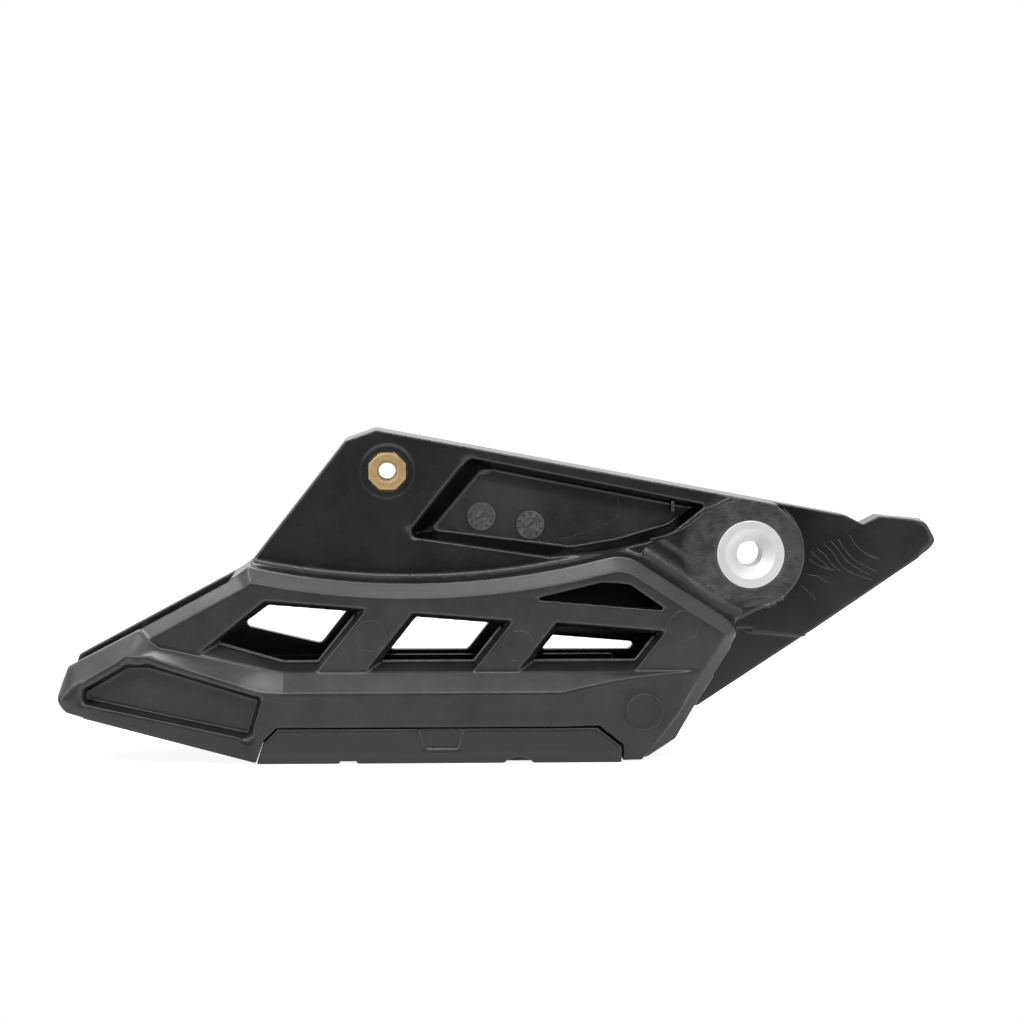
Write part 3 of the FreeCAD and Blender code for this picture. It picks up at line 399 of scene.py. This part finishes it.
def makeTurned(name, s):
    mat, tree, shader, place = newMaterial(name)
    shader.inputs["Metallic"].default_value = 1.0
    x, z = s["middle"]
    centre = addNode(tree, "ShaderNodeMapping", Location=(-x * mm, 0, -z * mm))
    link(tree, place, centre.inputs["Vector"])
    rings = addNode(tree, "ShaderNodeTexWave", Scale=s["rings"], Distortion=0.6, Detail=2.0)
    rings.wave_type = "RINGS"
    rings.rings_direction = "Y"
    link(tree, centre.outputs[0], rings.inputs["Vector"])
    cloud = noiseNode(tree, place, 500.0, 4.0)
    colour = tree.nodes.new("ShaderNodeMix")
    colour.data_type = "RGBA"
    colour.inputs[6].default_value = (*[c * s["spread"] for c in s["colour"]], 1)
    colour.inputs[7].default_value = (*s["colour"], 1)
    link(tree, cloud, colour.inputs[0])
    link(tree, colour.outputs[2], shader.inputs["Base Color"])
    link(tree, rangeNode(tree, rings.outputs["Fac"], 0.0, 1.0, *s["rough"]), shader.inputs["Roughness"])
    link(tree, bumpNode(tree, rings.outputs["Fac"], 0.18, 0.00004), shader.inputs["Normal"])
    return mat


weldReach = 0.01 * mm  # joins the seams between the CAD's faces
turnedEdge = {"flat": 1.5, "sharp": 22, "segments": 3}  # angles in degrees


def joinSeams(obj):
    weld = obj.modifiers.new("joinSeams", "WELD")
    weld.merge_threshold = weldReach


def softenEdges(obj, width, s):
    # join the seams, drop the cuts of flat faces, then round the edges
    joinSeams(obj)
    flat = obj.modifiers.new("flatFaces", "DECIMATE")
    flat.decimate_type = "DISSOLVE"
    flat.angle_limit = math.radians(s["flat"])
    bevel = obj.modifiers.new("softEdges", "BEVEL")
    bevel.width = width * mm
    bevel.segments = s["segments"]
    bevel.limit_method = "ANGLE"
    bevel.angle_limit = math.radians(s["sharp"])
    even = obj.modifiers.new("evenFaces", "WEIGHTED_NORMAL")
    even.weight = 100
    obj.data.shade_smooth()


def addCornerNodes(name, passes, corners):
    # blurs the points near the listed corners, so that they round off more than the other edges
    tree = bpy.data.node_groups.new(name, "GeometryNodeTree")
    for way in ("INPUT", "OUTPUT"):
        tree.interface.new_socket("Geometry", in_out=way, socket_type="NodeSocketGeometry")
    start, end = tree.nodes.new("NodeGroupInput"), tree.nodes.new("NodeGroupOutput")
    place = tree.nodes.new("GeometryNodeInputPosition").outputs[0]
    weight = None
    for x, behind, z, reach in corners:
        gap = tree.nodes.new("ShaderNodeVectorMath")
        gap.operation = "DISTANCE"
        link(tree, place, gap.inputs[0])
        gap.inputs[1].default_value = spot(x, behind, z)
        near = rangeNode(tree, gap.outputs["Value"], reach * 0.5 * mm, reach * mm, 1.0, 0.0)
        weight = near if weight is None else mathNode(tree, "MAXIMUM", weight, near)
    blur = tree.nodes.new("GeometryNodeBlurAttribute")
    blur.data_type = "FLOAT_VECTOR"
    blur.inputs["Iterations"].default_value = passes
    link(tree, place, [s for s in blur.inputs if s.enabled and s.type == "VECTOR"][0])
    link(tree, weight, blur.inputs["Weight"])
    move = tree.nodes.new("GeometryNodeSetPosition")
    link(tree, start.outputs[0], move.inputs["Geometry"])
    link(tree, [s for s in blur.outputs if s.enabled][0], move.inputs["Position"])
    link(tree, move.outputs[0], end.inputs[0])
    return tree


def mouldSkin(obj, s):
    # one even skin, smoothed a little everywhere and more at the corners, then thinned out
    joinSeams(obj)
    skin = obj.modifiers.new("evenSkin", "REMESH")
    skin.mode = "VOXEL"
    skin.voxel_size = s["voxel"] * mm
    skin.use_smooth_shade = True
    soft = obj.modifiers.new("softEdges", "SMOOTH")
    soft.factor = s["softness"]
    soft.iterations = s["passes"]
    if s["corners"]:
        rounder = obj.modifiers.new("softCorners", "NODES")
        rounder.node_group = addCornerNodes(obj.name + "Corners", s["cornerPasses"], s["corners"])
    thin = obj.modifiers.new("fewerFaces", "DECIMATE")
    thin.ratio = s["share"]


def dress(node, mat):
    obj = nodes[node]
    obj.data.materials.clear()
    obj.data.materials.append(mat)
    return obj


# rounding of the two mouldings: voxel and reach in mm, corners as x, depth behind the bolted face, z and reach
housingSkin = {"voxel": 0.35, "softness": 0.5, "passes": 3, "share": 0.2, "cornerPasses": 40, "corners": [
    (-177.0, -15.0, -28.0, 6.0), (-178.6, -15.0, -35.0, 7.0), (-176.9, -15.0, -39.0, 5.0),  # nose
    (48.6, 18.0, 8.2, 5.0), (51.4, 18.0, 2.4, 5.5), (49.6, 18.0, 0.0, 5.0),  # tail tip
    (-172.3, -14.0, -34.4, 2.6), (-161.3, -14.0, -26.3, 2.0), (-155.5, -14.0, -26.3, 2.0),
    (-127.6, -14.0, -35.8, 1.5), (-130.5, -14.0, -45.4, 2.2),  # nose pocket
    (-90.0, 0.0, 4.8, 3.0), (-74.4, 0.0, 25.7, 2.6),
    (-83.4, 5.0, 6.3, 2.0), (-69.5, 5.0, 22.8, 2.0),  # plate pocket
    (-5.1, -6.0, -17.2, 4.0), (-4.0, -6.0, -20.5, 4.0),  # heel
    (16.6, 17.0, -23.1, 3.0),  # step under the tail
]}
sliderSkin = {"voxel": 0.35, "softness": 0.5, "passes": 1, "share": 0.2, "corners": []}
housingBlack = makeHousingBlack(housingSet, paintedDeepShadeSet, ledgeHighlightSet, landSet)
sliderBlack = makeSliderBlack(sliderSet)
streakAndHighlightGrey = makePaleBlack("streakAndHighlightGrey", streakSet)
dialGrey = makePaleBlack("dialGrey", dialFaceSet)
insertBrass = makeTurned("insertBrass", insertSet)
bushAluminium = makeTurned("bushAluminium", bushSet)
mouldSkin(dress("housing", housingBlack), housingSkin)
mouldSkin(dress("slider", sliderBlack), sliderSkin)
softenEdges(dress("front_insert", insertBrass), insertSet["edge"], turnedEdge)
softenEdges(dress("rear_bush", bushAluminium), bushSet["edge"], turnedEdge)
print("nodes dressed")


def addPiece(name, data, mat):
    obj = bpy.data.objects.new(name, data)
    scene.collection.objects.link(obj)
    data.materials.append(mat)
    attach(obj, "root")
    return obj


def wire(name, s, mat, closed=False, smooth=True):
    # thin round lines through points given in mm on one depth
    data = bpy.data.curves.new(name, "CURVE")
    data.dimensions = "3D"
    data.bevel_depth = s["radius"] * mm
    data.bevel_resolution = 2
    data.use_fill_caps = True
    data.resolution_u = 8
    for run in s["runs"]:
        spline = data.splines.new("BEZIER")
        spline.bezier_points.add(len(run) - 1)
        spline.use_cyclic_u = closed
        for point, (x, z) in zip(spline.bezier_points, run):
            point.co = spot(x, s["depth"], z)
            point.handle_left_type = point.handle_right_type = "AUTO" if smooth else "VECTOR"
    return addPiece(name, data, mat)


# fine lines of flow on the tail, fanned out from the boss
flowSet = {"depth": 14.03, "radius": 0.12, "runs": [
    [(17.2, -2.3), (20.3, -4.2), (23.8, -5.3)],
    [(16.9, -6.4), (19.7, -7.0), (22.2, -8.6)],
    [(17.5, -0.1), (20.3, -2.6), (22.8, -4.8)],
    [(21.2, 1.7), (23.7, -0.7), (25.0, -2.9), (27.3, -5.2), (30.4, -6.7), (34.2, -8.0)],
    [(19.3, 0.5), (21.6, -1.3), (23.2, -3.6), (25.7, -5.5)],
    [(25.0, 3.0), (26.6, 0.5), (29.1, -2.3), (32.3, -4.2), (35.5, -5.8)],
    [(28.1, 4.0), (29.7, 1.5), (32.9, -1.1), (36.1, -2.4)],
    [(15.0, -9.2), (17.2, -11.1), (19.1, -13.3)],
    [(23.1, 2.5), (25.0, 0.3), (27.2, -2.6), (30.1, -4.7), (33.6, -6.6)],
]}
wire("flowLines", flowSet, streakAndHighlightGrey)

# thin seams of flash along the land's edges, and streaks down the ramp beside it
flashSet = {"depth": 0.02, "radius": 0.14, "runs": [
    [(-26.5, 4.1), (-21.2, 5.3), (-16.5, 7.6), (-12.3, 10.9)],
    [(8.6, 11.9), (11.3, 8.9), (13.2, 5.1), (13.9, 1.0), (13.0, -4.0), (11.2, -8.1), (8.8, -10.5)],
]}
wire("flashSeams", flashSet, streakAndHighlightGrey)
rampSet = {"depth": -1.9, "radius": 0.12, "runs": [
    [(-29.5, 0.4), (-16.5, -8.4), (-7.5, -13.9)],
    [(-26.5, -1.6), (-9.9, -13.0)],
]}
wire("rampStreaks", rampSet, streakAndHighlightGrey)

# bead on the inner edge of each window, along its sill and up its rear side, pale as a painted highlight
lipHighlightSet = {"depth": -7.7, "radius": 0.45, "runs": [
    [(-138.5, -21.8), (-121.6, -26.7), (-112.6, -26.7), (-103.2, -14.8)],
    [(-96.2, -26.7), (-72.5, -26.7), (-65.6, -17.9)],
    [(-57.2, -26.7), (-30.8, -26.7), (-26.0, -20.6)],
]}
wire("windowLipHighlights", lipHighlightSet, streakAndHighlightGrey, smooth=False)

# seam along the step under the tail, and a ridge at the land's upper end
seamSet = {"depth": 19.9, "radius": 0.4, "runs": [[(-0.8, -21.6), (7.0, -22.3), (15.2, -23.1)]]}
wire("tailSeam", seamSet, housingBlack)
ridgeSet = {"depth": 0.0, "radius": 0.3, "runs": [[(-12.4, 11.9), (-10.6, 12.4), (-7.6, 13.8), (-5.6, 14.8)]]}
wire("landRidge", ridgeSet, housingBlack)

# round witness marks of the ejector pins
ejectorSet = {"wire": 0.1, "sunk": 0.03, "marks": [
    (-158.9, -10.8, -32.5, 4.85), (-99.2, -11.0, -19.8, 4.0), (-61.1, -11.0, -22.6, 3.9),
    (-18.5, -11.0, -17.6, 3.9), (-28.9, -15.0, -39.3, 4.6),
]}


def closeRows(bm, rows):
    # faces between rows of points, round both ways
    steps, sides = len(rows), len(rows[0])
    for n in range(steps):
        here, there = rows[n], rows[(n + 1) % steps]
        for k in range(sides):
            m = (k + 1) % sides
            bm.faces.new((here[k], here[m], there[m], there[k]))


def addRing(bm, x, behind, z, radius, thin, steps=64, sides=6):
    rows = []
    for n in range(steps):
        turn = 2 * math.pi * n / steps
        row = []
        for k in range(sides):
            lean = 2 * math.pi * k / sides
            reach = radius + thin * math.cos(lean)
            row.append(bm.verts.new(spot(x + reach * math.cos(turn), behind + thin * math.sin(lean),
                                         z + reach * math.sin(turn))))
        rows.append(row)
    closeRows(bm, rows)


def finishMesh(bm, name, mat, smooth=True):
    bmesh.ops.recalc_face_normals(bm, faces=bm.faces)
    data = bpy.data.meshes.new(name)
    bm.to_mesh(data)
    bm.free()
    if smooth:
        data.shade_smooth()
    return addPiece(name, data, mat)


marks = bmesh.new()
for x, behind, z, radius in ejectorSet["marks"]:
    addRing(marks, x, behind + ejectorSet["sunk"], z, radius, ejectorSet["wire"])
finishMesh(marks, "ejectorMarks", housingBlack)
print("flow lines, flash and ejector marks placed")

# engraved outline on the pocket's floor
outlineSet = {"depth": 5.02, "radius": 0.11, "runs": [[
    (-68.6, 21.2), (-61.1, 21.1), (-39.8, 16.9), (-35.6, 15.7), (-34.1, 12.7), (-34.7, 9.7), (-37.4, 7.9),
    (-51.0, 3.5), (-55.8, 3.2), (-75.4, 6.0), (-77.5, 8.6), (-76.9, 10.7), (-70.0, 19.9),
]]}
wire("floorOutline", outlineSet, housingBlack, closed=True)

# two mould date dials on the pocket's floor
dialSet = {
    "depth": 5.0, "radius": 3.75, "hub": 1.75, "digit": 1.5, "bold": 0.05, "raise": 0.2, "thick": 0.3, "edge": 0.08,
    "rim": {"thin": 0.12, "proud": 0.1}, "ring": {"thin": 0.1, "proud": 0.12, "steps": 32},
    "arrow": [(-1.3, -0.22), (0.5, -0.22), (0.5, -0.55), (1.4, 0.0), (0.5, 0.55), (0.5, 0.22), (-1.3, 0.22)],
    "dials": {
        "monthDial": {"at": (-70.2, 9.9), "numbers": range(1, 13), "turn": 28.0},
        "yearDial": {"at": (-57.4, 7.7), "numbers": range(0, 10), "turn": 40.0},
    },
}


def addDigits(bm, text, s, place):
    data = bpy.data.curves.new("digits", "FONT")
    data.body = text
    data.size = s["digit"] * mm
    data.extrude = s["raise"] * mm
    data.offset = s["bold"] * mm
    data.align_x = "CENTER"
    data.align_y = "CENTER"
    data.resolution_u = 3
    holder = bpy.data.objects.new("digits", data)
    mesh = bpy.data.meshes.new_from_object(holder)
    mesh.transform(place)
    bm.from_mesh(mesh)
    bpy.data.objects.remove(holder)
    bpy.data.curves.remove(data)
    bpy.data.meshes.remove(mesh)


def makeDial(name, s, dial):
    x, z = dial["at"]
    upright = Matrix.Rotation(math.pi / 2, 4, "X")  # letters stand in the plane of the face
    face = bmesh.new()
    bmesh.ops.create_cone(face, cap_ends=True, segments=64, radius1=s["radius"] * mm, radius2=s["radius"] * mm,
                          depth=s["thick"] * mm, matrix=Matrix.Translation(spot(x, s["depth"], z)) @ upright)
    rims = [e for e in face.edges if e.is_manifold and e.calc_face_angle() > 1.0]
    bmesh.ops.bevel(face, geom=rims, offset=s["edge"] * mm, segments=2, profile=0.5, affect="EDGES")
    finishMesh(face, name + "Face", dialGrey, smooth=False)
    bm = bmesh.new()
    rim, ring = s["rim"], s["ring"]
    addRing(bm, x, s["depth"] - rim["proud"], z, s["radius"], rim["thin"])
    addRing(bm, x, s["depth"] - ring["proud"], z, s["hub"], ring["thin"], ring["steps"])
    numbers = list(dial["numbers"])
    for n, number in enumerate(numbers):
        turn = -2 * math.pi * n / len(numbers)
        way = (s["radius"] + s["hub"]) / 2
        at = spot(x - way * math.sin(turn), s["depth"], z + way * math.cos(turn))
        place = Matrix.Translation(at) @ Matrix.Rotation(-turn, 4, "Y") @ upright
        addDigits(bm, str(number), s, place)
    lean = math.radians(dial["turn"])
    along = Vector((math.cos(lean), math.sin(lean)))
    side = Vector((-along.y, along.x))
    fronts, backs = [], []
    for a, b in s["arrow"]:
        flat = along * a + side * b
        fronts.append(bm.verts.new(spot(x + flat.x, s["depth"] - s["raise"] * 1.6, z + flat.y)))
        backs.append(bm.verts.new(spot(x + flat.x, s["depth"] + s["raise"], z + flat.y)))
    bm.faces.new(fronts)
    bm.faces.new(backs[::-1])
    for n in range(len(fronts)):
        m = (n + 1) % len(fronts)
        bm.faces.new((fronts[n], fronts[m], backs[m], backs[n]))
    finishMesh(bm, name, housingBlack, smooth=False)


for name, dial in dialSet["dials"].items():
    makeDial(name, dialSet, dial)

# small rib under the pocket's upper edge
ribSet = {"at": (-20.4, 12.6), "wide": 0.9, "tall": 2.8, "front": 0.6, "back": 5.2, "edge": 0.22}


def makeRib(s):
    x, z = s["at"]
    bm = bmesh.new()
    bmesh.ops.create_cube(bm, size=1.0)
    middle = (s["front"] + s["back"]) / 2
    for vert in bm.verts:
        vert.co = spot(x + vert.co.x * s["wide"], middle + vert.co.y * (s["back"] - s["front"]),
                       z + vert.co.z * s["tall"])
    bmesh.ops.bevel(bm, geom=bm.edges[:], offset=s["edge"] * mm, segments=2, profile=0.5, affect="EDGES")
    finishMesh(bm, "pocketRib", housingBlack)


makeRib(ribSet)

# ragged fin of flash along the boss's lower edge
finSet = {"depth": 0.05, "thick": 0.25, "tipDepth": 0.06, "radius": 14.1, "root": 0.5, "from": -48.0, "to": -94.0,
          "steps": 46, "reach": (0.15, 0.9), "seed": 4}


def makeFin(s):
    dice = random.Random(s["seed"])
    bm = bmesh.new()
    rows = []
    root = s["radius"] - s["root"]
    for n in range(s["steps"] + 1):
        turn = math.radians(s["from"] + (s["to"] - s["from"]) * n / s["steps"])
        reach = s["radius"] + dice.uniform(*s["reach"])
        ends = []
        for radius, behind in ((root, 0.0), (reach, s["tipDepth"]), (reach, s["thick"]), (root, s["thick"])):
            ends.append(bm.verts.new(spot(radius * math.cos(turn), s["depth"] + behind, radius * math.sin(turn))))
        rows.append(ends)
    for first, second in zip(rows, rows[1:]):
        for k in range(4):
            bm.faces.new((first[k], first[(k + 1) % 4], second[(k + 1) % 4], second[k]))
    bm.faces.new(rows[0])
    bm.faces.new(rows[-1][::-1])
    finishMesh(bm, "flashFin", housingBlack)


makeFin(finSet)

# eight-sided collar of the brass insert, a little proud of its spot face
collarSet = {"middle": insertMiddle, "flat": 4.85, "hole": 2.75, "front": 0.12, "back": 0.45, "sides": 8,
             "stepsPerSide": 6, "edge": (0.14, 0.12), "mouth": (0.35, 0.3)}  # edge and mouth: across, deep


def makeCollar(s):
    x, z = s["middle"]
    bm = bmesh.new()
    rows = []
    steps = s["sides"] * s["stepsPerSide"]
    half = math.pi / s["sides"]
    (edgeIn, edgeDeep), (mouthOut, mouthDeep) = s["edge"], s["mouth"]
    for n in range(steps):
        turn = 2 * math.pi * n / steps
        # distance to the flat side in this direction
        side = (turn + half) % (2 * half) - half
        outer = s["flat"] / math.cos(side)
        row = []
        for radius, behind in ((outer, s["back"]), (outer, s["front"] + edgeDeep), (outer - edgeIn, s["front"]),
                               (s["hole"] + mouthOut, s["front"]), (s["hole"], s["front"] + mouthDeep),
                               (s["hole"], s["back"])):
            row.append(bm.verts.new(spot(x + radius * math.cos(turn), behind, z + radius * math.sin(turn))))
        rows.append(row)
    closeRows(bm, rows)
    finishMesh(bm, "insertCollar", insertBrass, smooth=False)


makeCollar(collarSet)

# thread in the brass insert
threadSet = {"middle": insertMiddle, "radius": 2.55, "pitch": 1.0, "length": 8.6, "start": 0.7, "wire": 0.3,
             "stepsPerTurn": 24}


def makeThread(s):
    data = bpy.data.curves.new("insertThread", "CURVE")
    data.dimensions = "3D"
    data.bevel_depth = s["wire"] * mm
    data.bevel_resolution = 1
    data.use_fill_caps = True
    x, z = s["middle"]
    steps = int(s["length"] / s["pitch"] * s["stepsPerTurn"])
    spline = data.splines.new("POLY")
    spline.points.add(steps)
    for n, point in enumerate(spline.points):
        turns = n / s["stepsPerTurn"]
        lean = 2 * math.pi * turns
        across, up = s["radius"] * math.cos(lean), s["radius"] * math.sin(lean)
        place = spot(x + across, s["start"] + s["pitch"] * turns, z + up)
        point.co = (*place, 1)
    addPiece("insertThread", data, insertBrass)


makeThread(threadSet)
print("dials, outline, rib, fin, collar and thread placed")
